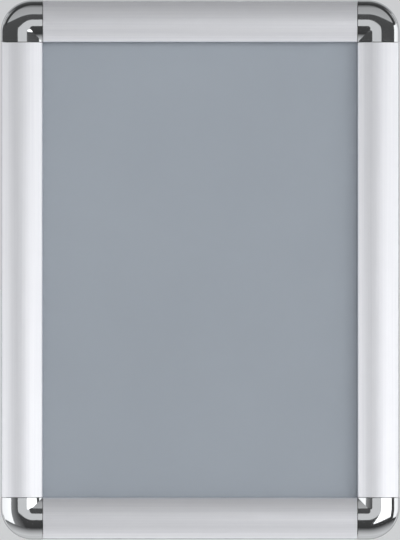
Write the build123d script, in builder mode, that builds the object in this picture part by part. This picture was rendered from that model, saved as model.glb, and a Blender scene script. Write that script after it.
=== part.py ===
from build123d import *

import os
from math import asin, atan2, cos, degrees, hypot, radians, sin, sqrt

# Clip frame for an A4 sheet, with round chrome corners.
#
# Four base rails lie against the wall, and four cover rails hinge on their outer edges.
# Bowed leaf springs hold each cover shut on the edge of the sheet, or open past dead centre.
# Moulded connectors join the base rails, and a chrome cap covers each corner.
#
# The frame hangs upright: X to the right, Z up, the front towards -Y and the wall at Y = 0.
# The origin is the middle of the back. Lengths are in millimetres.
# A rail's section has two coordinates: u, from the outer edge of the frame towards the
# view, and v, from the wall towards the front.

# Paper and outline
paper_width = 210.0
paper_height = 297.0
paper_overlap = 7.5  # edge of the sheet that each rail hides
profile_width = 26.0
profile_height = 11.5
corner_straight = 6.0  # from the end of a rail to where the corner starts to curve

# Hinge, a bead on the base rail in a socket under the cover
hinge_height = 7.0
bead_radius = 1.15
hinge_clearance = 0.08
socket_wall = 0.97
neck_thickness = 0.7
open_angle = 95.0
open_spare_angle = 5.0  # left between socket and neck when the cover is fully open

# Cover rail
cover_thickness = 1.1
nose_radius = 1.6
lip_radius = 0.35
lip_foot_reach = 2.6
lip_foot_thickness = 0.9
lip_clearance = 0.1  # above the sheet
cover_end_gap = 0.35

# Spring seat under the socket
seat_drop = 4.0  # hinge axis to the underside of the seat
seat_reach = 1.9
seat_leg = 0.9
seat_foot = 0.7

# Base rail
base_inset = 0.4  # the corner caps stand this much proud of the rails
base_wall = 1.2
base_wall_height = 4.9
base_floor = 1.2
base_end_gap = 0.1
ledge_inset = 1.5
rib_thickness = 1.0
rib_rise = 2.4
hook_reach = 0.7
hook_thickness = 0.7

# Panel and cover sheet
panel_thickness = 2.0
panel_clearance = 0.5
sheet_thickness = 0.5

# Leaf springs
spring_thickness = 0.5
spring_length = 20.0
spring_foot = 2.2
spring_rise = 4.9
spring_bend_radius = 1.7
spring_gap = 0.05
spring_seat_gap = 0.3
spring_crest_shares = (0.36, 0.72)  # of the way from the rib to the seat
spring_place_share = 0.25  # of a rail's length, from its middle

# Corner connector
connector_clearance = 0.15
arm_clearance = 0.3
arm_length = 24.0
arm_thickness = 2.6
arm_flange = 1.0
arm_end_radius = 1.5
arm_screw_share = 0.5
pocket_wall = 1.3
pocket_length = 5.0
pocket_depth = 1.6
pocket_shares = (0.21, 0.79)  # of an arm's length, either side of its screw

# Screws
screw_radius = 1.2
screw_clearance = 0.15
thread_clearance = 0.05
screw_head_radius = 2.3
screw_head_recess = 0.1
countersink_angle = 90.0
head_clearance = 0.1
screw_tip = 0.3  # from the point of a screw to the end of its hole
drive_length = 2.6
drive_width = 0.6
drive_depth = 0.7
wall_hole_radius = 2.25
wall_hole_margin = 12.0  # from the end of a connector arm

# Corner cap
cap_wall = 1.8
cap_web = 1.2
cap_roof = 2.4
cap_roof_start = 6.0  # where the hollow's roof turns level, from the outer face
cap_lip_gap = 0.3
boss_radius = 3.0
boss_gap = 0.1
cap_screw_cover = 3.1  # from the point of a cap screw to the front of the cap

overrun = 1.0  # how far a cutting solid runs past what it cuts



def direction(start, end):
    """The angle, in degrees, of the way from one point of a section to another."""
    return degrees(atan2(end[1] - start[1], end[0] - start[0]))


def polar(centre, radius, angle):
    """The point at an angle, in degrees, on a circle in a section."""
    return (
        centre[0] + radius * cos(radians(angle)),
        centre[1] + radius * sin(radians(angle)),
    )


# Worked out sizes
view_width = paper_width - 2 * paper_overlap
view_height = paper_height - 2 * paper_overlap
frame_width = view_width + 2 * profile_width
frame_height = view_height + 2 * profile_width
corner_radius = profile_width - corner_straight

socket_bore = bead_radius + hinge_clearance
socket_radius = socket_bore + socket_wall
hinge = (socket_radius, hinge_height)

# The crown is one arc, level at the middle of the rail and tangent to the socket's round.
crown_rise = profile_height - hinge_height
crown_reach = profile_width / 2 - socket_radius
crown_radius = (crown_reach**2 + crown_rise**2 - socket_radius**2) / (
    2 * (crown_rise - socket_radius)
)
crown_centre = (profile_width / 2, profile_height - crown_radius)
rim_angle = direction(crown_centre, hinge)
nose_run = profile_width / 2 - nose_radius
nose_centre = (
    profile_width - nose_radius,
    crown_centre[1] + sqrt((crown_radius - nose_radius) ** 2 - nose_run**2),
)
nose_angle = direction(crown_centre, nose_centre)

# The neck that carries the bead leans in from the middle of the base rail's outer wall.
neck_foot = (base_inset + base_wall / 2, base_wall_height)
neck_angle = 180 + direction(neck_foot, hinge)
neck_half_angle = degrees(asin(neck_thickness / 2 / socket_bore))
mouth_angle = neck_angle - neck_half_angle - open_angle - open_spare_angle

panel_inset = profile_width - paper_overlap
rib_inner = panel_inset - panel_clearance
rib_outer = rib_inner - rib_thickness
rib_top = base_floor + rib_rise
stack_top = base_floor + panel_thickness + sheet_thickness
lip_bottom = stack_top + lip_clearance
cap_lip_bottom = stack_top + cap_lip_gap

# A connector's arms fill the base rail with a flange, and rise higher only between the swing
# of the spring seat and the hook on the rib.
seat_swing = hypot(seat_reach, seat_drop)
arm_inner = rib_outer - hook_reach - arm_clearance
arm_outer = hinge[0] + seat_swing + arm_clearance
arm_middle = (arm_inner + arm_outer) / 2
arm_top = base_floor + arm_thickness
arm_bend_radius = corner_radius - arm_outer
arm_screw_place = profile_width + arm_screw_share * arm_length
boss_place = (corner_radius - arm_bend_radius / sqrt(2) + arm_inner) / 2
cap_screw_point = profile_height - cap_screw_cover
cap_screw_bite = cap_screw_point - arm_top - boss_gap
plate_edge = cap_wall + connector_clearance
arm_screw_spots = [(arm_middle, arm_screw_place), (arm_screw_place, arm_middle)]

# Each side of the frame: the middle of its outer edge, and the way its section is extruded
sides = {
    "bottom": ((0, 0, -frame_height / 2), (1, 0, 0), view_width),
    "right": ((frame_width / 2, 0, 0), (0, 0, 1), view_height),
    "top": ((0, 0, frame_height / 2), (-1, 0, 0), view_width),
    "left": ((-frame_width / 2, 0, 0), (0, 0, -1), view_height),
}
# Each corner of the frame: its outer point, and the direction of one of its two edges
corners = {
    "bottom_left": ((-frame_width / 2, 0, -frame_height / 2), (1, 0, 0)),
    "bottom_right": ((frame_width / 2, 0, -frame_height / 2), (0, 0, 1)),
    "top_right": ((frame_width / 2, 0, frame_height / 2), (-1, 0, 0)),
    "top_left": ((-frame_width / 2, 0, frame_height / 2), (0, 0, -1)),
}
to_front = Vector(0, -1, 0)
to_wall = Vector(0, 1, 0)


def section_plane(side):
    """The plane across a rail at its middle: x is u, y is v."""
    origin, along, _ = sides[side]
    return Plane(origin, x_dir=to_front.cross(Vector(along)), z_dir=along)


def back_plane(side):
    """The wall plane at a rail, seen from behind: x is against the extrusion, y is u."""
    origin, along, _ = sides[side]
    return Plane(origin, x_dir=Vector(along).reverse(), z_dir=to_wall)


def corner_plane(corner):
    """The wall plane at a corner of the frame: x and y run inwards along its two edges."""
    origin, edge = corners[corner]
    return Plane(origin, x_dir=edge, z_dir=to_front)


def block(low, high):
    """A rectangle between two corners of a section, added to the sketch in hand."""
    width, height = high[0] - low[0], high[1] - low[1]
    with Locations(low):
        Rectangle(width, height, align=(Align.MIN, Align.MIN))


def vertex_at(sketch, point):
    """The corner of a sketch that lies nearest to a point."""
    return sketch.vertices().sort_by_distance(point)[0]


def draw_base_section():
    """Floor, outer wall with the hinge bead, and the rib that stops the panel and springs."""
    block((base_inset, 0), (profile_width - ledge_inset, base_floor))
    block((base_inset, 0), (base_inset + base_wall, base_wall_height))
    block((rib_outer, 0), (rib_inner, rib_top))
    block((rib_outer - hook_reach, rib_top - hook_thickness), (rib_inner, rib_top))
    neck_length = hypot(hinge[0] - neck_foot[0], hinge[1] - neck_foot[1])
    with Locations(Location(hinge, neck_angle)):
        Rectangle(neck_length, neck_thickness, align=(Align.MIN, Align.CENTER))
    with Locations(hinge):
        Circle(bead_radius)


def draw_socket_mouth():
    """The open side of the socket, which the neck passes as the cover turns."""
    reach = 3 * socket_radius
    seat_side = 270
    middle = (mouth_angle + seat_side) / 2
    Polygon(
        hinge,
        polar(hinge, reach, mouth_angle),
        polar(hinge, reach, middle),
        polar(hinge, reach, seat_side),
        align=None,
        mode=Mode.SUBTRACT,
    )


def draw_crown():
    """The arched front of a cover rail, between two concentric arcs, and its rounded nose."""
    for centre, radius, start, end in (
        (crown_centre, crown_radius, nose_angle, rim_angle),
        (nose_centre, nose_radius, 0, nose_angle),
    ):
        with BuildLine() as outline:
            outer = CenterArc(centre, radius, start, end - start)
            inner = CenterArc(centre, radius - cover_thickness, start, end - start)
            Line(outer @ 0, inner @ 0)
            Line(outer @ 1, inner @ 1)
        make_face(outline.edges())


def draw_cover_section():
    """Socket, crown, clamping lip and the seat that holds the springs."""
    with Locations(hinge):
        Circle(socket_radius)
    draw_socket_mouth()
    draw_crown()
    block((profile_width - cover_thickness, lip_bottom), (profile_width, nose_centre[1]))
    block(
        (profile_width - lip_foot_reach, lip_bottom),
        (profile_width, lip_bottom + lip_foot_thickness),
    )
    seat_bottom = hinge[1] - seat_drop
    block((hinge[0], seat_bottom), (hinge[0] + seat_leg, hinge[1] - socket_bore))
    block((hinge[0], seat_bottom), (hinge[0] + seat_reach, seat_bottom + seat_foot))
    with Locations(hinge):
        Circle(socket_bore, mode=Mode.SUBTRACT)


def make_base_rail(side):
    """One base extrusion, drilled for its connector screws and, on the long sides, the wall."""
    length = sides[side][2]
    with BuildPart(back_plane(side)) as rail:
        with BuildSketch(section_plane(side)):
            draw_base_section()
        extrude(amount=length / 2 - base_end_gap, both=True)
        screw_place = length / 2 + profile_width - arm_screw_place
        with Locations((-screw_place, arm_middle), (screw_place, arm_middle)):
            CounterSinkHole(
                screw_radius + screw_clearance,
                screw_head_radius + head_clearance,
                depth=base_floor,
                counter_sink_angle=countersink_angle,
            )
        if side in ("left", "right"):
            hole_place = length / 2 - arm_length - wall_hole_margin
            with Locations((-hole_place, arm_middle), (hole_place, arm_middle)):
                Hole(wall_hole_radius, depth=base_floor)
    rail.part.label = f"base_rail_{side}"
    return rail.part


def make_cover_rail(side):
    """One cover extrusion, shut."""
    length = sides[side][2]
    with BuildPart() as rail:
        with BuildSketch(section_plane(side)) as section:
            draw_cover_section()
            for corner in (
                (profile_width, lip_bottom),
                (profile_width - lip_foot_reach, lip_bottom),
                (profile_width - lip_foot_reach, lip_bottom + lip_foot_thickness),
            ):
                fillet(vertex_at(section, corner), radius=lip_radius)
        extrude(amount=length / 2 - cover_end_gap, both=True)
    rail.part.label = f"cover_rail_{side}"
    return rail.part


def spring_points():
    """The bends of a leaf spring in section, from the rib's foot to the seat."""
    foot_v = base_floor + spring_gap + spring_thickness / 2
    start = (rib_outer - spring_thickness, foot_v)
    knee = (start[0] - spring_foot, foot_v)
    end_gap = spring_seat_gap + spring_thickness / 2
    end = (hinge[0] + seat_leg + end_gap, hinge[1] - seat_drop + seat_foot + end_gap)
    span = start[0] - end[0]
    crests = [(start[0] - share * span, foot_v + spring_rise) for share in spring_crest_shares]
    return [start, knee, *crests, end]


def make_spring(side, number):
    """One bowed leaf spring, in its place between a base rail and its shut cover."""
    place = spring_place_share * sides[side][2] * (1 if number == 1 else -1)
    with BuildPart() as spring:
        with BuildSketch(section_plane(side).offset(place)):
            with BuildLine():
                FilletPolyline(*spring_points(), radius=spring_bend_radius)
                offset(amount=spring_thickness / 2)
            make_face()
        extrude(amount=spring_length / 2, both=True)
    spring.part.label = f"spring_{side}_{number}"
    return spring.part


def draw_cap_outline(width):
    """Everything under the front of a corner cap, from its outer face to a given width."""
    with BuildLine() as outline:
        rim = CenterArc(hinge, socket_radius, rim_angle, 180 - rim_angle)
        CenterArc(crown_centre, crown_radius, nose_angle, rim_angle - nose_angle)
        nose = CenterArc(nose_centre, nose_radius, 0, nose_angle)
        Polyline(rim @ 1, (0, 0), (profile_width, 0), nose @ 0)
    make_face(outline.edges())
    Rectangle(width, profile_height, align=(Align.MIN, Align.MIN), mode=Mode.INTERSECT)


def draw_cap_hollow(width):
    """The hollow under a corner cap's skin, from its outer wall to a given width."""
    roof = profile_height - cap_roof
    inner_face = profile_width - cap_wall
    Polygon(
        (cap_wall, 0),
        (cap_wall, hinge_height),
        (cap_roof_start, roof),
        (corner_radius, roof),
        (inner_face, hinge_height),
        (inner_face, 0),
        align=None,
    )
    Rectangle(width, roof, align=(Align.MIN, Align.MIN), mode=Mode.INTERSECT)


def arm_planes(inset):
    """The section planes of a cap's two straight ends, each this far short of its rail."""
    place = profile_width - inset
    return (
        Plane((0, place, 0), x_dir=(1, 0, 0), z_dir=(0, -1, 0)),
        Plane((place, 0, 0), x_dir=(0, 1, 0), z_dir=(1, 0, 0)),
    )


def sweep_round_corner(draw, inner_width, end_inset):
    """Sweeps a section round the corner: a quarter turn, then straight to each rail."""
    first, second = arm_planes(end_inset)
    straight = corner_straight - end_inset
    centre = (corner_radius, corner_radius, 0)
    with BuildSketch(first.offset(straight)) as turn:
        draw(corner_radius)
    revolve(turn.sketch, axis=Axis(centre, (0, 0, 1)), revolution_arc=90)
    for end, amount in ((first, straight), (second, -straight)):
        with BuildSketch(end) as section:
            draw(inner_width)
        extrude(section.sketch, amount=amount)


def make_cap_shape():
    """A corner cap in the coordinates of its own corner, Z from the wall."""
    with BuildPart() as hollow:
        sweep_round_corner(draw_cap_hollow, profile_width - cap_wall, cap_web)
        with BuildSketch(Plane.XY) as slot:
            block((cap_wall, corner_radius), (profile_width + overrun,) * 2)
            block((corner_radius, cap_wall), (profile_width + overrun,) * 2)
        extrude(slot.sketch, amount=cap_lip_bottom)
        with BuildSketch(Plane.XY.offset(arm_top + boss_gap)) as boss:
            with Locations((boss_place, boss_place)):
                Circle(boss_radius)
        extrude(boss.sketch, amount=profile_height, mode=Mode.SUBTRACT)
    with BuildPart() as cap:
        sweep_round_corner(draw_cap_outline, profile_width, 0)
        add(hollow.part, mode=Mode.SUBTRACT)
        with Locations((boss_place, boss_place, arm_top + boss_gap)):
            Hole(screw_radius + thread_clearance, depth=cap_screw_bite + screw_tip)
    return cap.part


def make_connector_shape():
    """A corner connector in the coordinates of its own corner, Z from the wall."""
    ledge = profile_width - ledge_inset
    arm_end = profile_width + arm_length
    with BuildPart() as connector:
        with BuildSketch() as plate:
            block((plate_edge, plate_edge), (ledge, profile_width))
            block((plate_edge, plate_edge), (profile_width, ledge))
            fillet(vertex_at(plate, (0, 0)), radius=corner_radius - plate_edge)
        extrude(amount=base_floor)
        for outer, inner, thickness in (
            (plate_edge, rib_outer - connector_clearance, arm_flange),
            (arm_outer, arm_inner, arm_thickness),
        ):
            with BuildSketch(Plane.XY.offset(base_floor)) as arms:
                block((outer, outer), (inner, arm_end))
                block((outer, outer), (arm_end, inner))
                fillet(vertex_at(arms, (0, 0)), radius=corner_radius - outer)
                fillet(arms.vertices().group_by(Axis.X)[-1], radius=arm_end_radius)
                fillet(arms.vertices().group_by(Axis.Y)[-1], radius=arm_end_radius)
            extrude(amount=thickness)
        pocket_width = arm_inner - arm_outer - 2 * pocket_wall
        pockets = [profile_width + share * arm_length for share in pocket_shares]
        with BuildSketch(Plane.XY.offset(arm_top)):
            with Locations(*[(arm_middle, place) for place in pockets]):
                Rectangle(pocket_width, pocket_length)
            with Locations(*[(place, arm_middle) for place in pockets]):
                Rectangle(pocket_length, pocket_width)
        extrude(amount=-pocket_depth, mode=Mode.SUBTRACT)
        with Locations(*[(*spot, arm_top) for spot in arm_screw_spots]):
            Hole(screw_radius + thread_clearance, depth=arm_thickness)
        with Locations(Location((boss_place, boss_place, 0), (180, 0, 0))):
            CounterSinkHole(
                screw_radius + screw_clearance,
                screw_head_radius + head_clearance,
                depth=arm_top,
                counter_sink_angle=countersink_angle,
            )
    return connector.part


def make_screw_shape(tip):
    """A countersunk screw along Z, its head in the wall plane and its point at a given Z."""
    head_end = screw_head_radius - screw_radius
    with BuildPart() as screw:
        with BuildSketch(Plane.XZ):
            with BuildLine():
                Polyline(
                    (0, screw_head_recess),
                    (screw_head_radius - screw_head_recess, screw_head_recess),
                    (screw_radius, head_end),
                    (screw_radius, tip),
                    (0, tip),
                    close=True,
                )
            make_face()
        revolve(axis=Axis.Z)
        with BuildSketch(Plane.XY.offset(screw_head_recess)):
            Rectangle(drive_length, drive_width)
            Rectangle(drive_width, drive_length)
        extrude(amount=drive_depth, mode=Mode.SUBTRACT)
    return screw.part


def make_sheet(thickness, height, label):
    """A flat rectangle the size of the paper, at a height above the wall."""
    with BuildPart() as sheet:
        with BuildSketch(Plane((0, -height, 0), x_dir=(1, 0, 0), z_dir=to_front)):
            Rectangle(paper_width, paper_height)
        extrude(amount=thickness)
    sheet.part.label = label
    return sheet.part


def place_in_corners(shape, corner_names, spots, label):
    """One part with a copy of a shape at each spot of each corner."""
    places = [
        corner_plane(corner).location * Location((*spot, 0))
        for corner in corner_names
        for spot in spots
    ]
    with BuildPart() as group:
        with Locations(*places):
            add(shape)
    group.part.label = label
    return group.part


pieces = []
for side in sides:
    pieces += [make_base_rail(side), make_cover_rail(side)]
    pieces += [make_spring(side, number) for number in (1, 2)]

cap_shape = make_cap_shape()
connector_shape = make_connector_shape()
for corner in corners:
    pieces.append(place_in_corners(cap_shape, [corner], [(0, 0)], f"corner_cap_{corner}"))
    pieces.append(
        place_in_corners(connector_shape, [corner], [(0, 0)], f"corner_connector_{corner}")
    )

arm_screw = make_screw_shape(arm_top - screw_tip)
cap_screw = make_screw_shape(cap_screw_point)
pieces.append(place_in_corners(arm_screw, corners, arm_screw_spots, "connector_screws"))
pieces.append(place_in_corners(cap_screw, corners, [(boss_place, boss_place)], "cap_screws"))
pieces.append(make_sheet(panel_thickness, base_floor, "back_panel"))
pieces.append(make_sheet(sheet_thickness, base_floor + panel_thickness, "cover_sheet"))

os.makedirs("parts", exist_ok=True)
for piece in pieces:
    export_step(piece, f"parts/{piece.label}.step")
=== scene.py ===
from math import cos, pi, radians, sin, tan, tau

import bmesh
import bpy
from bpy.props import FloatProperty, FloatVectorProperty, PointerProperty
from mathutils import Matrix, Vector


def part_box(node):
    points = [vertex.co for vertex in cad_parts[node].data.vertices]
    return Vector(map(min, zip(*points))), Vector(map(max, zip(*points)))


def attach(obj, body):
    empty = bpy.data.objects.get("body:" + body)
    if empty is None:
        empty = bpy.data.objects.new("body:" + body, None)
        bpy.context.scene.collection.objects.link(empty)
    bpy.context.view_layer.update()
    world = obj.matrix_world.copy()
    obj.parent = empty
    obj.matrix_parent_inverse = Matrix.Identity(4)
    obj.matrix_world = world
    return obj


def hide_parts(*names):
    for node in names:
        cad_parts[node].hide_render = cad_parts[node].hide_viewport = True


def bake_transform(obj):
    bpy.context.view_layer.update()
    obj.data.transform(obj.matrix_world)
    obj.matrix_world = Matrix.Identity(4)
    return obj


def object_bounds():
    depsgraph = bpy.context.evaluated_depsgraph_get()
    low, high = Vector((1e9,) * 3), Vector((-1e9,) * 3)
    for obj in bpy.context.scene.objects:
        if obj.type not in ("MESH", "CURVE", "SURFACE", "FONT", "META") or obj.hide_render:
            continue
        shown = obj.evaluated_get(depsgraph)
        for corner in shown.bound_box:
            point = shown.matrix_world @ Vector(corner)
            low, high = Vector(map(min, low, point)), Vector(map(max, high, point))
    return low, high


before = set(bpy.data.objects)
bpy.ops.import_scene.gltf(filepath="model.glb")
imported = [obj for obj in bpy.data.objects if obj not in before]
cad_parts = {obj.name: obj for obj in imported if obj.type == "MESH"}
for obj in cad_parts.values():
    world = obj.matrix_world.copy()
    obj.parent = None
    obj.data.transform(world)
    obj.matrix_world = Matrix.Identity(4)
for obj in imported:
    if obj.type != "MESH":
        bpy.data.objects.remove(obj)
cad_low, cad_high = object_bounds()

bl_info = {
    "name": "Clip Frame",
    "version": (1, 0, 0),
    "blender": (4, 5, 0),
    "location": "3D View > Sidebar > Clip Frame",
    "description": "Finishes, leaf springs, screws and studio for an A4 clip frame",
    "category": "Object",
}

MM = 0.001
SIDES = ("bottom", "right", "top", "left")
CORNERS = ("bottom_left", "bottom_right", "top_right", "top_left")
HALF_WIDTH = cad_high.x
HALF_HEIGHT = cad_high.z

# Each side: the middle of its outer edge at the wall, and the way its section is extruded.
# In a section, u runs from the outer edge towards the view and v from the wall to the front.
SIDE_PLACES = {
    "bottom": (Vector((0, 0, -HALF_HEIGHT)), Vector((1, 0, 0))),
    "right": (Vector((HALF_WIDTH, 0, 0)), Vector((0, 0, 1))),
    "top": (Vector((0, 0, HALF_HEIGHT)), Vector((-1, 0, 0))),
    "left": (Vector((-HALF_WIDTH, 0, 0)), Vector((0, 0, -1))),
}
TO_FRONT = Vector((0, -1, 0))

# Bends of a leaf spring along its middle, in section: rib foot, knee, two crests, seat.
SPRING_BENDS = tuple(
    Vector(bend) * MM
    for bend in ((16.5, 1.5), (14.3, 1.5), (11.87, 6.4), (7.25, 6.4), (3.65, 4.25))
)
# A program's sweep over a grid of points listed the first two of these section points among
# the best.
SPRING_STEP = 0.4 * MM  # between points along a spring's middle
FEWEST_BEND_STEPS = 4
# A cut corner reaches less far across the strip than along it.
SPRING_CORNER_SHARE = 0.8

# Screws, in their own coordinates: Z from the wall to the front
ARM_SCREW_INSET = 38.0 * MM
ARM_SCREW_LINE = 11.464 * MM
ARM_SCREW_TIP = 3.5 * MM
CAP_SCREW_INSET = 13.38 * MM
CAP_SCREW_TIP = 8.4 * MM
SCREW_SIDES = 36
SCREW_FACE = 0.1 * MM  # the head's face, in front of the wall plane
HEAD_RIM = (0.15 * MM, 0.12 * MM)  # the head's eased edge, inwards and in depth
THREAD_ROOT_SHARE = 0.8  # of the radius at the crest
THREAD_STEPS = 6  # rings in one turn of the thread
THREAD_RUN_IN = 6  # rings in which the thread rises under the head
THREAD_RUN_OUT = 8  # rings in which it runs out at the tip
THREAD_SLOPE = 3  # so that a ridge takes two thirds of the pitch
# A wing of the cross recess at its mouth and at its floor: half its length as a share of its
# reach, and half its width. The mouth is cut from a little above the head's face.
RECESS_MOUTH = (1.05, 0.34 * MM)
RECESS_FLOOR = (0.45, 0.2 * MM)
RECESS_OVERRUN = 0.1 * MM

# Finishes
BASE_ROUGHNESS = 0.42
COVER_ROUGHNESS = 0.45
ROUGHNESS_SPREAD = 0.02
STRIP_TONE = 40 * MM  # slow change of tone round a spring's bends
BOARD_CLOUD = 90 * MM  # clouds in the board's colour
ROLLER_STIPPLE = 4 * MM  # texture of the floor's paint
SHARP_ANGLE = radians(32)


def linear(code):
    """A colour written as sRGB hex, as linear RGBA."""
    channels = [int(code[i : i + 2], 16) / 255 for i in (1, 3, 5)]
    return (
        *[c / 12.92 if c <= 0.04045 else ((c + 0.055) / 1.055) ** 2.4 for c in channels],
        1.0,
    )


def length(name, description, default):
    """A size that the user can change, in metres, given in millimetres."""
    return FloatProperty(
        name=name,
        description=description,
        default=default * MM,
        min=0.01 * MM,
        precision=5,
        subtype="DISTANCE",
        unit="LENGTH",
    )


def colour(name, description, code):
    """A colour that the user can change, given as sRGB hex."""
    return FloatVectorProperty(
        name=name,
        description=description,
        default=linear(code),
        min=0.0,
        max=1.0,
        size=4,
        subtype="COLOR",
    )


class ClipFrameSizes(bpy.types.PropertyGroup):
    """Sizes of the pieces built here and of the finishes' patterns."""

    spring_thickness: length("Spring thickness", "Strip that the leaf springs are bent from", 0.5)
    spring_bend_radius: length("Spring bend radius", "Bends at the middle of the strip", 1.7)
    spring_corner: length("Spring corner", "Rounding of the strip's cut corners", 1.5)
    screw_head_radius: length("Screw head radius", "Countersunk head", 2.25)
    screw_radius: length("Screw radius", "Crest of the thread", 1.2)
    screw_pitch: length("Screw pitch", "One turn of the thread", 0.9)
    recess_reach: length("Cross recess reach", "From the middle to the end of a wing", 1.3)
    recess_depth: length("Cross recess depth", "From the head's face", 0.8)
    die_line_spacing: length("Die line spacing", "Between lines along an extrusion", 0.9)
    die_line_run: length("Die line run", "Length of one line along an extrusion", 160.0)
    blast_grain: length("Etched grain", "Grain of the satin etch before anodising", 0.7)
    plating_ripple: length("Plating ripple", "Waves in the plated plastic", 9.0)
    nylon_grain: length("Nylon grain", "Spark-eroded texture of the mould", 0.6)
    roll_line_spacing: length("Roll line spacing", "Lines left by rolling the strip", 0.35)
    zinc_mottle: length("Zinc mottle", "Patches in the passivated zinc", 1.2)
    board_grain: length("Board grain", "Texture of the extruded board", 1.6)
    film_grain: length("Film grain", "Embossed grain of the anti-glare face", 0.8)
    floor_gap: length("Floor gap", "From the floor to the frame's lowest edge", 40.0)


class ClipFrameColours(bpy.types.PropertyGroup):
    """Colours of the finishes and of the studio."""

    cover_light: colour("Cover light", "Satin anodised aluminium, lighter lines", "#F5F6FA")
    cover_dark: colour("Cover dark", "Satin anodised aluminium, darker lines", "#EFF0F5")
    base_light: colour("Base light", "Base extrusion, lighter lines", "#D9DBDE")
    base_dark: colour("Base dark", "Base extrusion, darker lines", "#CDD0D4")
    chrome: colour("Chrome", "Bright chromium plating", "#C0C2C4")
    nylon: colour("Nylon", "Black moulded connectors", "#1B1C1E")
    spring: colour("Spring steel", "Bright rolled strip", "#B4B6B8")
    zinc: colour("Zinc", "Clear passivated zinc", "#C9CDD2")
    zinc_blue: colour("Zinc tint", "Faint blue of the passivation", "#B7C1CE")
    board_light: colour("Board light", "Grey polystyrene board", "#A3AAB2")
    board_dark: colour("Board dark", "Grey polystyrene board, shade", "#9FA6AE")
    film: colour("Film", "Haze of the anti-glare film", "#B4BBC3")
    floor: colour("Floor", "Pale studio floor", "#DEDFDF")
    surround: colour("Surround", "Pale studio surround", "#CCCDCF")
    cloth: colour("Cloth", "White cloth that reflections show", "#FFFFFF")


def add_node(tree, kind, inputs=(), **settings):
    """Adds a shader node, sets its attributes, then sets or links its inputs."""
    node = tree.nodes.new(kind)
    for name, value in settings.items():
        setattr(node, name, value)
    for name, value in dict(inputs).items():
        if isinstance(value, bpy.types.NodeSocket):
            tree.links.new(value, node.inputs[name])
        else:
            node.inputs[name].default_value = value
    return node


def new_material(name):
    """A material with an empty node tree."""
    material = bpy.data.materials.new(name)
    material.use_nodes = True
    material.node_tree.nodes.clear()
    return material


def finish_surface(tree, inputs):
    """Closes a material with a Principled surface."""
    surface = add_node(tree, "ShaderNodeBsdfPrincipled", inputs)
    add_node(tree, "ShaderNodeOutputMaterial", {"Surface": surface.outputs["BSDF"]})


def object_noise(tree, scale, detail, roughness=0.5):
    """Noise in object space, with a scale in features per metre for each axis."""
    place = add_node(tree, "ShaderNodeTexCoord")
    stretched = add_node(
        tree,
        "ShaderNodeMapping",
        {"Vector": place.outputs["Object"], "Scale": scale},
    )
    return add_node(
        tree,
        "ShaderNodeTexNoise",
        {
            "Vector": stretched.outputs["Vector"],
            "Scale": 1.0,
            "Detail": detail,
            "Roughness": roughness,
        },
    )


def spread(tree, factor, low, high):
    """A factor, mostly between 0.3 and 0.7, spread between two values."""
    return add_node(
        tree,
        "ShaderNodeMapRange",
        {"Value": factor, "From Min": 0.3, "From Max": 0.7, "To Min": low, "To Max": high},
    ).outputs["Result"]


def blend_colours(tree, factor, first, second):
    """Two colours mixed by a factor."""
    return add_node(
        tree,
        "ShaderNodeMix",
        {0: spread(tree, factor, 0.0, 1.0), 6: first, 7: second},
        data_type="RGBA",
    ).outputs[2]


def bumped(tree, height, strength, distance):
    """A normal with a small relief."""
    return add_node(
        tree,
        "ShaderNodeBump",
        {"Height": height, "Strength": strength, "Distance": distance},
    ).outputs["Normal"]


def extruded_aluminium(name, along, light, dark, sizes, roughness):
    """Etched and anodised aluminium extrusion. The etch makes it satin, and faint die lines
    run the whole length, so a highlight is a soft band along the rail and wider across it."""
    material = new_material(name)
    tree = material.node_tree
    # Die lines are about 0.1 mm apart, too fine to show, so they are drawn wider.
    scale = [1 / sizes.die_line_spacing] * 3
    scale["xyz".index(along)] = 1 / sizes.die_line_run
    lines = object_noise(tree, scale, detail=2.0, roughness=0.6).outputs["Fac"]
    grain = object_noise(tree, [1 / sizes.blast_grain] * 3, detail=1.0).outputs["Fac"]
    tangent = add_node(tree, "ShaderNodeTangent", direction_type="RADIAL", axis=along.upper())
    relief = bumped(tree, lines, strength=0.06, distance=0.02 * MM)
    finish_surface(
        tree,
        {
            "Base Color": blend_colours(tree, lines, light, dark),
            "Metallic": 1.0,
            "Roughness": spread(
                tree, grain, roughness - ROUGHNESS_SPREAD, roughness + ROUGHNESS_SPREAD
            ),
            "Anisotropic": 0.3,
            "Tangent": tangent.outputs["Tangent"],
            "Normal": relief,
        },
    )
    return material


def chrome_plated_abs(sizes, colours):
    """Bright chromium on moulded ABS. It mirrors the room sharply, and slow waves in the
    plastic under the plating make the reflections wander."""
    material = new_material("Chrome_plated_moulded_ABS")
    tree = material.node_tree
    waves = object_noise(tree, [1 / sizes.plating_ripple] * 3, detail=1.0).outputs["Fac"]
    finish_surface(
        tree,
        {
            "Base Color": colours.chrome,
            "Metallic": 1.0,
            "Roughness": spread(tree, waves, 0.04, 0.07),
            "Normal": bumped(tree, waves, strength=0.25, distance=0.05 * MM),
        },
    )
    return material


def moulded_nylon(sizes, colours):
    """Black glass-filled nylon. The spark-eroded mould leaves a dull, even grain."""
    material = new_material("Moulded_black_nylon")
    tree = material.node_tree
    # The real grain is about 0.05 mm, and is drawn coarser so that it shows.
    grain = object_noise(tree, [1 / sizes.nylon_grain] * 3, detail=3.0).outputs["Fac"]
    finish_surface(
        tree,
        {
            "Base Color": colours.nylon,
            "Roughness": spread(tree, grain, 0.42, 0.58),
            "IOR": 1.53,
            "Normal": bumped(tree, grain, strength=0.2, distance=0.05 * MM),
        },
    )
    return material


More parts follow.
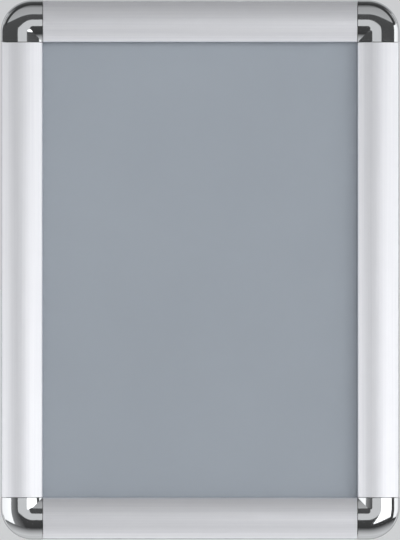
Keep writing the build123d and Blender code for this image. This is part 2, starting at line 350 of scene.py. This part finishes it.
def rolled_spring_steel(along, sizes, colours):
    """Bright rolled spring steel. Fine roll lines run round the bends of each strip."""
    material = new_material(f"Rolled_spring_steel_{along}")
    tree = material.node_tree
    # Only the direction along the rail, across the strip, has fine detail.
    scale = [1 / STRIP_TONE] * 3
    scale["xyz".index(along)] = 1 / sizes.roll_line_spacing
    lines = object_noise(tree, scale, detail=2.0).outputs["Fac"]
    finish_surface(
        tree,
        {
            "Base Color": colours.spring,
            "Metallic": 1.0,
            "Roughness": spread(tree, lines, 0.2, 0.34),
            "Normal": bumped(tree, lines, strength=0.1, distance=0.02 * MM),
        },
    )
    return material


def zinc_plated_steel(sizes, colours):
    """Zinc-plated steel. The clear passivation has faint blue patches and a soft shine."""
    material = new_material("Zinc_plated_steel")
    tree = material.node_tree
    patches = object_noise(tree, [1 / sizes.zinc_mottle] * 3, detail=2.0).outputs["Fac"]
    finish_surface(
        tree,
        {
            "Base Color": blend_colours(tree, patches, colours.zinc, colours.zinc_blue),
            "Metallic": 1.0,
            "Roughness": spread(tree, patches, 0.24, 0.36),
        },
    )
    return material


def extruded_polystyrene(sizes, colours):
    """Grey high-impact polystyrene sheet. It is matt, with a faint cloudy texture."""
    material = new_material("Extruded_polystyrene_board")
    tree = material.node_tree
    cloud = object_noise(tree, [1 / BOARD_CLOUD] * 3, detail=2.0).outputs["Fac"]
    grain = object_noise(tree, [1 / sizes.board_grain] * 3, detail=2.0).outputs["Fac"]
    finish_surface(
        tree,
        {
            "Base Color": blend_colours(tree, cloud, colours.board_light, colours.board_dark),
            "Roughness": spread(tree, grain, 0.5, 0.6),
            "IOR": 1.59,
            "Normal": bumped(tree, grain, strength=0.06, distance=0.05 * MM),
        },
    )
    return material


def embossed_film(sizes, colours):
    """Clear anti-glare film. Its embossed face scatters light, so it hides reflections and
    lays a thin haze over the board."""
    material = new_material("Embossed_anti_glare_PVC_film")
    tree = material.node_tree
    # The real grain is about 0.03 mm, and is drawn coarser so that it shows.
    grain = object_noise(tree, [1 / sizes.film_grain] * 3, detail=2.0).outputs["Fac"]
    finish_surface(
        tree,
        {
            "Base Color": colours.film,
            "Roughness": spread(tree, grain, 0.42, 0.52),
            "IOR": 1.53,
            "Alpha": 0.2,
            "Normal": bumped(tree, grain, strength=0.1, distance=0.02 * MM),
        },
    )
    return material


def painted_floor(colours):
    """Matt pale paint with a faint roller texture, so that the floor takes soft shadows."""
    material = new_material("Matt_painted_floor")
    tree = material.node_tree
    stipple = object_noise(tree, [1 / ROLLER_STIPPLE] * 3, detail=2.0).outputs["Fac"]
    finish_surface(
        tree,
        {
            "Base Color": colours.floor,
            "Roughness": spread(tree, stipple, 0.8, 0.9),
            "Normal": bumped(tree, stipple, strength=0.05, distance=0.2 * MM),
        },
    )
    return material


def lit_cloth(name, axis, reach, brightness, colours):
    """Stretched cloth that shows in reflections as a plain patch. Lit from one side, it fades
    evenly along an axis from one brightness to the other."""
    material = new_material(f"Lit_cloth_{name}")
    tree = material.node_tree
    place = add_node(tree, "ShaderNodeTexCoord")
    split = add_node(tree, "ShaderNodeSeparateXYZ", {"Vector": place.outputs["Object"]})
    fade = add_node(
        tree,
        "ShaderNodeMapRange",
        {
            "Value": split.outputs[axis.upper()],
            "From Min": reach[0],
            "From Max": reach[1],
            "To Min": brightness[0],
            "To Max": brightness[1],
        },
    )
    glow = add_node(
        tree,
        "ShaderNodeEmission",
        {"Color": colours.cloth, "Strength": fade.outputs["Result"]},
    )
    add_node(tree, "ShaderNodeOutputMaterial", {"Surface": glow.outputs["Emission"]})
    # Only reflections count here, so no light is sent out from the cloth.
    material.cycles.emission_sampling = "NONE"
    return material


def dress(name, material):
    """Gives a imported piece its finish."""
    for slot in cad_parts[name].material_slots:
        slot.material = material


def add_object(name, data):
    """Makes an object and links it to the scene."""
    made = bpy.data.objects.new(name, data)
    bpy.context.scene.collection.objects.link(made)
    return made


def finish_rails(kind, finish, light, dark, roughness, sizes):
    """Dresses four rails of a kind, each with the die lines along its own length."""
    finishes = {
        along: extruded_aluminium(f"{finish}_{along}", along, light, dark, sizes, roughness)
        for along in "xz"
    }
    for side in SIDES:
        dress(f"{kind}_{side}", finishes["x" if side in ("top", "bottom") else "z"])


def add_piece(name, bm, material):
    """Makes an object from a mesh in hand, smooth but for its sharp edges."""
    mesh = bpy.data.meshes.new(name)
    bmesh.ops.recalc_face_normals(bm, faces=bm.faces)
    bm.to_mesh(mesh)
    bm.free()
    mesh.materials.append(material)
    mesh.shade_smooth()
    mesh.set_sharp_from_angle(angle=SHARP_ANGLE)
    return add_object(name, mesh)


def section_point(side, point, along=0.0):
    """A point of a rail's section, a distance along the rail from its middle."""
    origin, direction = SIDE_PLACES[side]
    inward = TO_FRONT.cross(direction)
    return origin + inward * point[0] + TO_FRONT * point[1] + direction * along


def rounded_path(bends, radius, step):
    """Points at most a step apart along a bent strip, each bend rounded to a radius."""
    path = [bends[0].copy()]
    for before, bend, after in zip(bends, bends[1:], bends[2:]):
        back = (before - bend).normalized()
        ahead = (after - bend).normalized()
        half = back.angle(ahead) / 2
        centre = bend + (back + ahead).normalized() * (radius / sin(half))
        start = bend + back * (radius / tan(half))
        turn = (pi - 2 * half) * (1 if back.x * ahead.y - back.y * ahead.x < 0 else -1)
        count = max(FEWEST_BEND_STEPS, round(abs(turn) * radius / step))
        spoke = start - centre
        for i in range(count + 1):
            path.append(centre + Matrix.Rotation(turn * i / count, 2) @ spoke)
    path.append(bends[-1].copy())
    even = [path[0]]
    for point in path[1:]:
        gap = point - even[-1]
        count = max(1, round(gap.length / step))
        start = even[-1]
        even += [start + gap * (i + 1) / count for i in range(count)]
    return even


def add_ring_faces(bm, rings):
    """Joins closed rings of points into a skin with flat ends."""
    for first, second in zip(rings, rings[1:]):
        for i in range(len(first)):
            j = (i + 1) % len(first)
            bm.faces.new((first[i], first[j], second[j], second[i]))
    bm.faces.new(rings[0])
    bm.faces.new(rings[-1])


def build_spring(side, place, width, sizes):
    """One leaf spring: a strip bent in section, with eased edges and rounded corners."""
    path = rounded_path(SPRING_BENDS, sizes.spring_bend_radius, SPRING_STEP)
    half = sizes.spring_thickness / 2
    ease = half / 2
    travelled = [0.0]
    for first, second in zip(path, path[1:]):
        travelled.append(travelled[-1] + (second - first).length)
    bm = bmesh.new()
    rings = []
    for i, point in enumerate(path):
        ahead = path[min(i + 1, len(path) - 1)] - path[max(i - 1, 0)]
        across = Vector((-ahead.y, ahead.x)).normalized()
        near_end = min(travelled[i], travelled[-1] - travelled[i], sizes.spring_corner)
        missing = sizes.spring_corner - near_end
        cut = sizes.spring_corner - (sizes.spring_corner**2 - missing**2) ** 0.5
        edge = width / 2 - cut * SPRING_CORNER_SHARE
        outline = (
            (edge - ease, half),
            (edge, half - ease),
            (edge, ease - half),
            (edge - ease, -half),
            (ease - edge, -half),
            (-edge, ease - half),
            (-edge, half - ease),
            (ease - edge, half),
        )
        rings.append(
            [
                bm.verts.new(section_point(side, point + across * height, place + offset))
                for offset, height in outline
            ]
        )
    add_ring_faces(bm, rings)
    return bm


def thread_ring(height, taper, sizes):
    """One ring of a rolled thread: the radius and height of each of its points."""
    crest = sizes.screw_radius
    root = crest * THREAD_ROOT_SHARE
    ring = []
    for k in range(SCREW_SIDES):
        phase = (height / sizes.screw_pitch - k / SCREW_SIDES) % 1
        ridge = max(0.0, 1 - abs(phase - 0.5) * THREAD_SLOPE)
        ring.append((root + (crest - root) * ridge * taper, height))
    return ring


def build_screw_blank(tip, sizes):
    """A countersunk head and a rolled thread along Z, with its head at the wall."""
    head = sizes.screw_head_radius
    root = sizes.screw_radius * THREAD_ROOT_SHARE
    neck = SCREW_FACE + head - root
    rim_in, rim_depth = HEAD_RIM
    profile = [(head - rim_in, SCREW_FACE), (head, SCREW_FACE + rim_depth), (root, neck)]
    rings = [[(radius, height)] * SCREW_SIDES for radius, height in profile]
    count = round((tip - neck) / (sizes.screw_pitch / THREAD_STEPS))
    for i in range(1, count + 1):
        taper = min(1.0, i / THREAD_RUN_IN, (count - i) / THREAD_RUN_OUT)
        rings.append(thread_ring(neck + (tip - neck) * i / count, taper, sizes))
    bm = bmesh.new()
    made = [
        [
            bm.verts.new(Matrix.Rotation(tau * k / SCREW_SIDES, 3, "Z") @ Vector((r, 0, z)))
            for k, (r, z) in enumerate(ring)
        ]
        for ring in rings
    ]
    add_ring_faces(bm, made)
    bmesh.ops.recalc_face_normals(bm, faces=bm.faces)
    mesh = bpy.data.meshes.new("screw_blank")
    bm.to_mesh(mesh)
    bm.free()
    return mesh


def build_punch(turn, sizes):
    """What cuts one slot of the cross recess. It narrows towards its floor, as a punch does."""
    bm = bmesh.new()
    levels = (
        (SCREW_FACE - RECESS_OVERRUN, *RECESS_MOUTH),
        (SCREW_FACE + sizes.recess_depth, *RECESS_FLOOR),
    )
    rings = [
        [
            bm.verts.new((x * (sizes.recess_reach * share), y * half_width, height))
            for x, y in ((-1, -1), (1, -1), (1, 1), (-1, 1))
        ]
        for height, share, half_width in levels
    ]
    add_ring_faces(bm, rings)
    bmesh.ops.recalc_face_normals(bm, faces=bm.faces)
    bmesh.ops.rotate(bm, verts=bm.verts, matrix=Matrix.Rotation(turn, 3, "Z"))
    mesh = bpy.data.meshes.new("recess")
    bm.to_mesh(mesh)
    bm.free()
    return mesh


def build_screw(tip, sizes):
    """A countersunk screw along Z: head at the wall, a rolled thread and a cross recess."""
    blank = add_object("screw_blank", build_screw_blank(tip, sizes))
    punches = [add_object("recess", build_punch(turn, sizes)) for turn in (0, pi / 2)]
    for punch in punches:
        cut = blank.modifiers.new("recess", "BOOLEAN")
        cut.object = punch
        cut.operation = "DIFFERENCE"
        cut.solver = "EXACT"
    evaluated = blank.evaluated_get(bpy.context.evaluated_depsgraph_get())
    shape = bpy.data.meshes.new_from_object(evaluated)
    for helper in (*punches, blank):
        bpy.data.objects.remove(helper)
    return shape


def add_screws(name, shape, spots, material):
    """One piece with a copy of a screw at each spot of the wall plane."""
    bm = bmesh.new()
    for x, z in spots:
        place = Matrix.Translation((x, 0, z)) @ Matrix.Rotation(pi / 2, 4, "X")
        copy = shape.copy()
        copy.transform(place)
        bm.from_mesh(copy)
        bpy.data.meshes.remove(copy)
    return add_piece(name, bm, material)


def corner_spots(across, down):
    """The four points this far in from the frame's outer edges."""
    return [
        (x * (HALF_WIDTH - across), z * (HALF_HEIGHT - down)) for x in (-1, 1) for z in (-1, 1)
    ]


def chosen(context):
    """The sizes and colours set in the sidebar."""
    return context.scene.clip_frame_sizes, context.scene.clip_frame_colours


class CLIPFRAME_OT_base_rails(bpy.types.Operator):
    """Finish the four base extrusions"""

    bl_idname = "clip_frame.base_rails"
    bl_label = "Base Rails"
    bl_options = {"REGISTER", "UNDO"}

    def execute(self, context):
        sizes, colours = chosen(context)
        finish_rails(
            "base_rail",
            "Anodised_base_extrusion",
            colours.base_light,
            colours.base_dark,
            BASE_ROUGHNESS,
            sizes,
        )
        return {"FINISHED"}


class CLIPFRAME_OT_cover_rails(bpy.types.Operator):
    """Finish the four hinged cover extrusions"""

    bl_idname = "clip_frame.cover_rails"
    bl_label = "Cover Rails"
    bl_options = {"REGISTER", "UNDO"}

    def execute(self, context):
        sizes, colours = chosen(context)
        finish_rails(
            "cover_rail",
            "Satin_anodised_extrusion",
            colours.cover_light,
            colours.cover_dark,
            COVER_ROUGHNESS,
            sizes,
        )
        return {"FINISHED"}


class CLIPFRAME_OT_springs(bpy.types.Operator):
    """Build the eight leaf springs between base and cover"""

    bl_idname = "clip_frame.springs"
    bl_label = "Leaf Springs"
    bl_options = {"REGISTER", "UNDO"}

    def execute(self, context):
        sizes, colours = chosen(context)
        finishes = {along: rolled_spring_steel(along, sizes, colours) for along in "xz"}
        for side in SIDES:
            _, direction = SIDE_PLACES[side]
            for number in (1, 2):
                node = f"spring_{side}_{number}"
                low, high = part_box(node)
                place = (low + high).dot(direction) / 2
                width = abs((high - low).dot(direction))
                spring = add_piece(
                    f"leaf_spring_{side}_{number}",
                    build_spring(side, place, width, sizes),
                    finishes["x" if direction.x else "z"],
                )
                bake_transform(spring)
                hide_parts(node)
        return {"FINISHED"}


class CLIPFRAME_OT_corner_caps(bpy.types.Operator):
    """Finish the four rounded corner caps"""

    bl_idname = "clip_frame.corner_caps"
    bl_label = "Corner Caps"
    bl_options = {"REGISTER", "UNDO"}

    def execute(self, context):
        sizes, colours = chosen(context)
        finish = chrome_plated_abs(sizes, colours)
        for corner in CORNERS:
            dress(f"corner_cap_{corner}", finish)
        return {"FINISHED"}


class CLIPFRAME_OT_connectors(bpy.types.Operator):
    """Finish the four moulded corner connectors"""

    bl_idname = "clip_frame.connectors"
    bl_label = "Corner Connectors"
    bl_options = {"REGISTER", "UNDO"}

    def execute(self, context):
        sizes, colours = chosen(context)
        finish = moulded_nylon(sizes, colours)
        for corner in CORNERS:
            dress(f"corner_connector_{corner}", finish)
        return {"FINISHED"}


class CLIPFRAME_OT_screws(bpy.types.Operator):
    """Build the connector screws and the cap screws"""

    bl_idname = "clip_frame.screws"
    bl_label = "Screws"
    bl_options = {"REGISTER", "UNDO"}

    def execute(self, context):
        sizes, colours = chosen(context)
        finish = zinc_plated_steel(sizes, colours)
        arm_spots = corner_spots(ARM_SCREW_INSET, ARM_SCREW_LINE)
        arm_spots += corner_spots(ARM_SCREW_LINE, ARM_SCREW_INSET)
        cap_spots = corner_spots(CAP_SCREW_INSET, CAP_SCREW_INSET)
        for node, tip, spots in (
            ("connector_screws", ARM_SCREW_TIP, arm_spots),
            ("cap_screws", CAP_SCREW_TIP, cap_spots),
        ):
            screws = add_screws(f"threaded_{node}", build_screw(tip, sizes), spots, finish)
            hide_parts(node)
            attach(screws, "frame")
        return {"FINISHED"}


class CLIPFRAME_OT_back_panel(bpy.types.Operator):
    """Finish the grey back panel"""

    bl_idname = "clip_frame.back_panel"
    bl_label = "Back Panel"
    bl_options = {"REGISTER", "UNDO"}

    def execute(self, context):
        sizes, colours = chosen(context)
        dress("back_panel", extruded_polystyrene(sizes, colours))
        return {"FINISHED"}


class CLIPFRAME_OT_cover_sheet(bpy.types.Operator):
    """Finish the clear anti-glare sheet"""

    bl_idname = "clip_frame.cover_sheet"
    bl_label = "Cover Sheet"
    bl_options = {"REGISTER", "UNDO"}

    def execute(self, context):
        sizes, colours = chosen(context)
        dress("cover_sheet", embossed_film(sizes, colours))
        return {"FINISHED"}


# Distant soft lights: name, the way it shines, and its strength on a surface that faces it, in
# watts per square metre. They light only what scatters light, and the floor evenly.
SOFT_LIGHTS = (
    ("soft_light_right", (-0.81, 0.57, -0.15), 1.7),
    ("soft_light_front", (-0.2, 0.95, -0.2), 0.9),
    ("soft_light_back", (0.0, -0.93, -0.37), 0.8),
)
SOFT_LIGHT_ANGLE = radians(40)
# Cards that only reflections show, in metres: name, axis of the plane and where it stands,
# the low and high ends on the other two axes, the axis along which it fades, and the
# brightness at its low and high ends. The first values came from a search program, which
# compared their reflections with the photo. Trials changed most of them.
CARDS = (
    ("card_behind_camera", "y", -3.2, (-0.72, -0.45), (0.56, 0.44), "z", (1.0, 1.0)),
    ("card_key", "y", -3.21, (0.5, -1.13), (2.25, 0.15), "z", (2.7, 2.7)),
    ("card_far_right", "y", -3.22, (2.89, -1.45), (9.0, 1.38), "x", (1.8, 0.7)),
    ("card_far_left", "y", -3.23, (-9.0, -1.8), (-1.8, 0.1), "x", (1.2, 1.9)),
    ("card_dim_left", "y", -3.24, (-1.8, -1.8), (-0.72, 0.1), "x", (0.45, 0.1)),
    ("card_dark_wall", "y", -3.25, (-9.0, -1.8), (9.0, 1.26), "z", (0.07, 0.13)),
    ("card_table", "z", -2.4, (-9.0, -4.4), (9.0, -2.2), "y", (0.1, 1.05)),
    ("card_table_near", "z", -2.4, (-9.0, -2.2), (9.0, -0.1), "y", (0.95, 0.95)),
    ("card_table_back", "z", -2.4, (-9.0, -0.1), (9.0, 7.0), "y", (0.75, 0.5)),
    ("card_right", "x", 3.0, (-1.43, -2.0), (-0.1, 2.4), "y", (1.05, 1.05)),
    ("card_right_back", "x", 3.0, (-0.1, -2.0), (7.0, 2.4), "y", (0.8, 0.5)),
    ("card_left", "x", -3.0, (-1.37, -2.0), (-0.1, 2.4), "y", (1.1, 1.1)),
    ("card_left_back", "x", -3.0, (-0.1, -2.0), (7.0, 2.4), "y", (0.8, 0.5)),
    ("card_ceiling", "z", 2.5, (-9.0, -6.6), (9.0, -3.3), "y", (0.72, 0.6)),
    ("card_ceiling_end", "z", 2.5, (-9.0, -3.3), (9.0, -2.45), "y", (0.6, 0.09)),
    ("card_overhead", "z", 2.5, (-3.0, -2.45), (3.0, -1.0), "y", (0.09, 0.3)),
    ("card_above", "z", 2.5, (-3.0, 0.3), (3.0, 7.0), "y", (0.8, 0.5)),
)
# A dark arch over the camera, in metres: where it stands, its inner and outer radius, and
# the angle of its two feet above the ground. The caps mirror it as a line inside their rims.
ARCH = (-2.2, 2.14, 2.6, radians(20))
ARCH_STEPS = 24
ARCH_BRIGHTNESS = 0.07
FLOOR_REACH = 60.0  # from the frame to each edge of the floor, in metres

# The camera has a long lens and stands at the distance where this height fills the picture.
LENS = 400.0
SENSOR = 36.0
PICTURE_HEIGHT = 333.9 * MM
CAMERA_SHIFT = -0.1 * MM


def add_soft_light(name, facing, strength):
    """A studio light so far and so broad that it lights evenly, with soft shadows."""
    lamp = bpy.data.lights.new(name, "SUN")
    lamp.angle = SOFT_LIGHT_ANGLE
    lamp.energy = strength
    light = add_object(name, lamp)
    light.visible_camera = False
    light.visible_glossy = False
    light.rotation_mode = "QUATERNION"
    light.rotation_quaternion = Vector(facing).to_track_quat("-Z", "Y")


def rectangle(axis, place, low, high):
    """The corners of a rectangle square to an axis."""
    corners = ((low[0], low[1]), (high[0], low[1]), (high[0], high[1]), (low[0], high[1]))
    at = "xyz".index(axis)
    return [(*corner[:at], place, *corner[at:]) for corner in corners]


def arch(place, inner, outer, foot):
    """The outline of a flat arch square to Y."""
    turns = [foot + (pi - 2 * foot) * i / ARCH_STEPS for i in range(ARCH_STEPS + 1)]
    return [(inner * cos(turn), place, inner * sin(turn)) for turn in turns] + [
        (outer * cos(turn), place, outer * sin(turn)) for turn in reversed(turns)
    ]


def add_flat(name, outline, material):
    """A flat sheet of the studio."""
    bm = bmesh.new()
    bm.faces.new([bm.verts.new(point) for point in outline])
    mesh = bpy.data.meshes.new(name)
    bm.to_mesh(mesh)
    bm.free()
    mesh.materials.append(material)
    flat = add_object(name, mesh)
    return flat


def add_card(name, outline, material):
    """A sheet that only reflections show."""
    card = add_flat(name, outline, material)
    card.visible_camera = False
    card.visible_diffuse = False
    card.visible_shadow = False
    card.visible_transmission = False


class CLIPFRAME_OT_stage(bpy.types.Operator):
    """Set up the floor, the surround, the soft lights, the cards and the camera"""

    bl_idname = "clip_frame.stage"
    bl_label = "Studio"
    bl_options = {"REGISTER", "UNDO"}

    def execute(self, context):
        sizes, colours = chosen(context)
        scene = bpy.context.scene
        scene.view_settings.view_transform = "Standard"

        floor_height = -HALF_HEIGHT - sizes.floor_gap
        floor = add_flat(
            "studio_floor",
            rectangle("z", floor_height, (-FLOOR_REACH,) * 2, (FLOOR_REACH,) * 2),
            painted_floor(colours),
        )
        # Reflections show the cards instead, which reach below the floor.
        floor.visible_glossy = False

        for name, axis, place, low, high, fade, brightness in CARDS:
            across = [a for a in "xyz" if a != axis].index(fade)
            reach = (low[across], high[across])
            cloth = lit_cloth(name, fade, reach, brightness, colours)
            add_card(name, rectangle(axis, place, low, high), cloth)
        shade = lit_cloth("arch", "x", (-1.0, 1.0), (ARCH_BRIGHTNESS,) * 2, colours)
        add_card("card_arch", arch(*ARCH), shade)
        for light in SOFT_LIGHTS:
            add_soft_light(*light)

        world = bpy.data.worlds.new("pale_surround")
        world.use_nodes = True
        tree = world.node_tree
        tree.nodes.clear()
        surround = add_node(
            tree, "ShaderNodeBackground", {"Color": colours.surround, "Strength": 1.0}
        )
        add_node(tree, "ShaderNodeOutputWorld", {"Surface": surround.outputs["Background"]})
        scene.world = world

        lens = bpy.data.cameras.new("camera")
        lens.lens = LENS
        lens.sensor_width = SENSOR
        lens.clip_start = 0.1
        lens.clip_end = 100.0
        camera = add_object("camera", lens)
        distance = PICTURE_HEIGHT * LENS / SENSOR
        camera.location = (CAMERA_SHIFT, cad_low.y - distance, CAMERA_SHIFT)
        camera.rotation_euler = (pi / 2, 0, 0)
        scene.camera = camera
        return {"FINISHED"}


OPERATORS = (
    CLIPFRAME_OT_base_rails,
    CLIPFRAME_OT_cover_rails,
    CLIPFRAME_OT_springs,
    CLIPFRAME_OT_corner_caps,
    CLIPFRAME_OT_connectors,
    CLIPFRAME_OT_screws,
    CLIPFRAME_OT_back_panel,
    CLIPFRAME_OT_cover_sheet,
    CLIPFRAME_OT_stage,
)


class CLIPFRAME_PT_pieces(bpy.types.Panel):
    """Lists the pieces, with their sizes and colours"""

    bl_label = "Clip Frame"
    bl_space_type = "VIEW_3D"
    bl_region_type = "UI"
    bl_category = "Clip Frame"

    def draw(self, context):
        layout = self.layout
        for operator in OPERATORS:
            layout.operator(operator.bl_idname)
        for settings in (context.scene.clip_frame_sizes, context.scene.clip_frame_colours):
            box = layout.box()
            for name in settings.__annotations__:
                box.prop(settings, name)


CLASSES = (ClipFrameSizes, ClipFrameColours, *OPERATORS, CLIPFRAME_PT_pieces)


def register():
    for cls in CLASSES:
        bpy.utils.register_class(cls)
    bpy.types.Scene.clip_frame_sizes = PointerProperty(type=ClipFrameSizes)
    bpy.types.Scene.clip_frame_colours = PointerProperty(type=ClipFrameColours)


def unregister():
    del bpy.types.Scene.clip_frame_colours
    del bpy.types.Scene.clip_frame_sizes
    for cls in reversed(CLASSES):
        bpy.utils.unregister_class(cls)


def main():
    register()
    bpy.ops.clip_frame.base_rails()
    bpy.ops.clip_frame.cover_rails()
    bpy.ops.clip_frame.springs()
    bpy.ops.clip_frame.corner_caps()
    bpy.ops.clip_frame.connectors()
    bpy.ops.clip_frame.screws()
    bpy.ops.clip_frame.back_panel()
    bpy.ops.clip_frame.cover_sheet()
    bpy.ops.clip_frame.stage()


if __name__ == "__main__":
    main()
